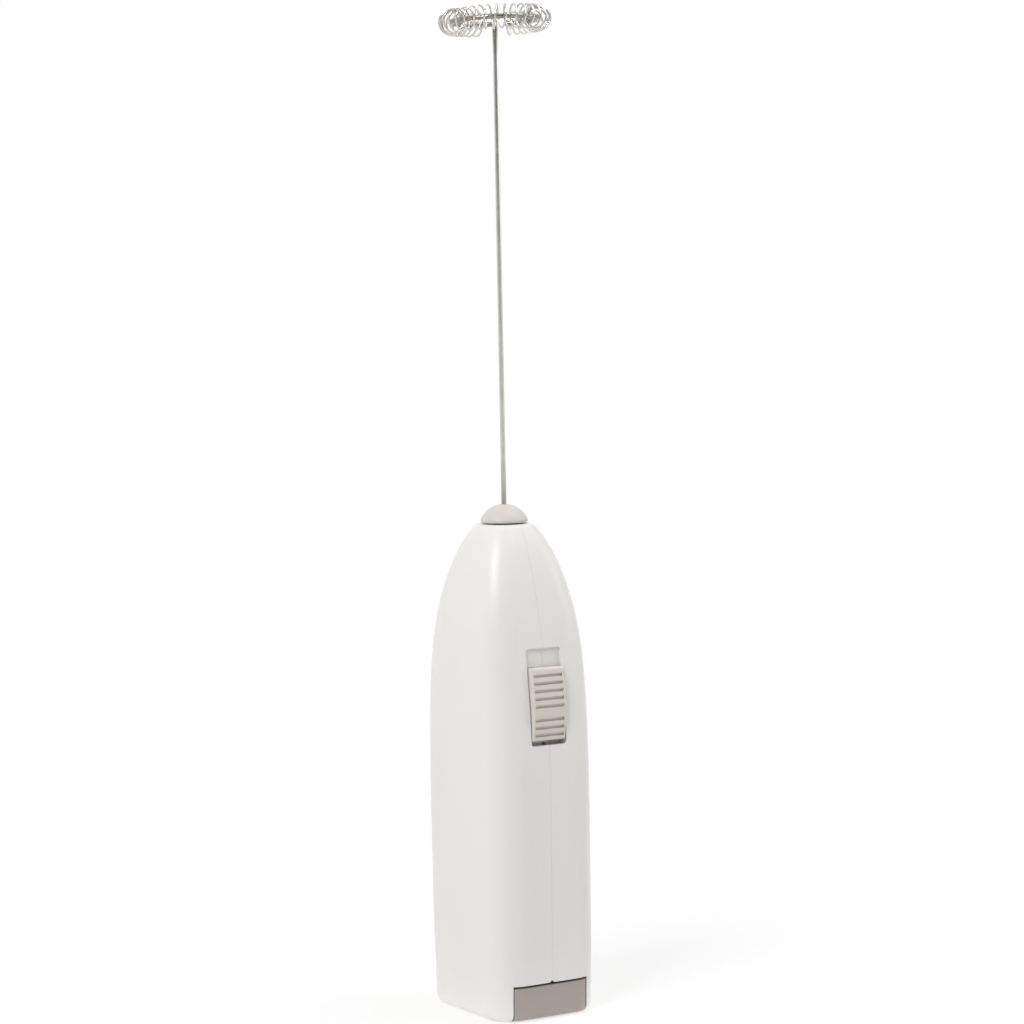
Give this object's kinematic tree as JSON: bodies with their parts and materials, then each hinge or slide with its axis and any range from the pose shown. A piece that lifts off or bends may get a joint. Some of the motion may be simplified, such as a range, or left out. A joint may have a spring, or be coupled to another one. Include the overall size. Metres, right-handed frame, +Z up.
{
  "type": "milk frother",
  "caption": "Handheld battery milk frother: bullet-shaped two-shell handle with slide switch and hinged base lid, and a coil-ring whisk on a spinning rod.",
  "frame": {"origin": "middle of the base, on the surface that the frother stands on", "axes": "+Z up along the whisk rod, -Y out of the switch side, +X to the right seen from the switch side"},
  "size_m": [0.0264, 0.035, 0.22],
  "materials": {
    "white_plastic": "satin moulded white",
    "grey_plastic": "satin moulded grey-brown",
    "beige_plastic": "satin moulded beige",
    "contact_metal": "nickel-plated spring steel",
    "copper": "bright copper alloy",
    "cell_jacket": "plain unprinted jacket",
    "motor_steel": "zinc-plated drawn steel",
    "bronze": "sintered bronze",
    "motor_plastic": "natural nylon",
    "magnet": "dark ferrite",
    "core_steel": "stacked laminations",
    "enamelled_wire": "enamelled copper wire",
    "wire_steel": "bright drawn stainless wire"
  },
  "bodies": {
    "handle": {"left_shell": "white_plastic", "right_shell": "white_plastic", "cell_front": "cell_jacket", "cell_rear": "cell_jacket", "negative_contact": "contact_metal", "deck_spring": "contact_metal", "positive_contact": "contact_metal", "switch_strip": "contact_metal", "motor_can": "motor_steel", "motor_front_bush": "bronze", "motor_end_bell": "motor_plastic", "motor_rear_bush": "bronze", "motor_magnet_front": "magnet", "motor_magnet_rear": "magnet", "motor_brush_front": "copper", "motor_brush_rear": "copper"},
    "whisk": {"motor_shaft": "wire_steel", "rotor_stack": "core_steel", "rotor_windings": "enamelled_wire", "commutator_core": "motor_plastic", "commutator_segments": "copper", "whisk_coupling": "beige_plastic", "whisk_rod": "wire_steel", "whisk_coil": "wire_steel"},
    "switch": {"switch_button": "beige_plastic", "switch_wiper": "copper"},
    "lid": {"battery_lid": "grey_plastic", "bridge_contact": "contact_metal", "lid_spring": "contact_metal"}
  },
  "joints": [
    {"name": "whisk_spin", "type": "hinge", "parent": "handle", "child": "whisk", "pos_m": [0, 0, 0.1], "axis": [0, 0, 1], "continuous": true},
    {"name": "switch_slide", "type": "slide", "parent": "handle", "child": "switch", "axis": [0, 0, 1], "range_m": [0, 0.0036]},
    {"name": "lid_hinge", "type": "hinge", "parent": "handle", "child": "lid", "pos_m": [0, 0.01275, 0.0019], "axis": [1, 0, 0], "range_deg": [0, 90]}
  ]
}
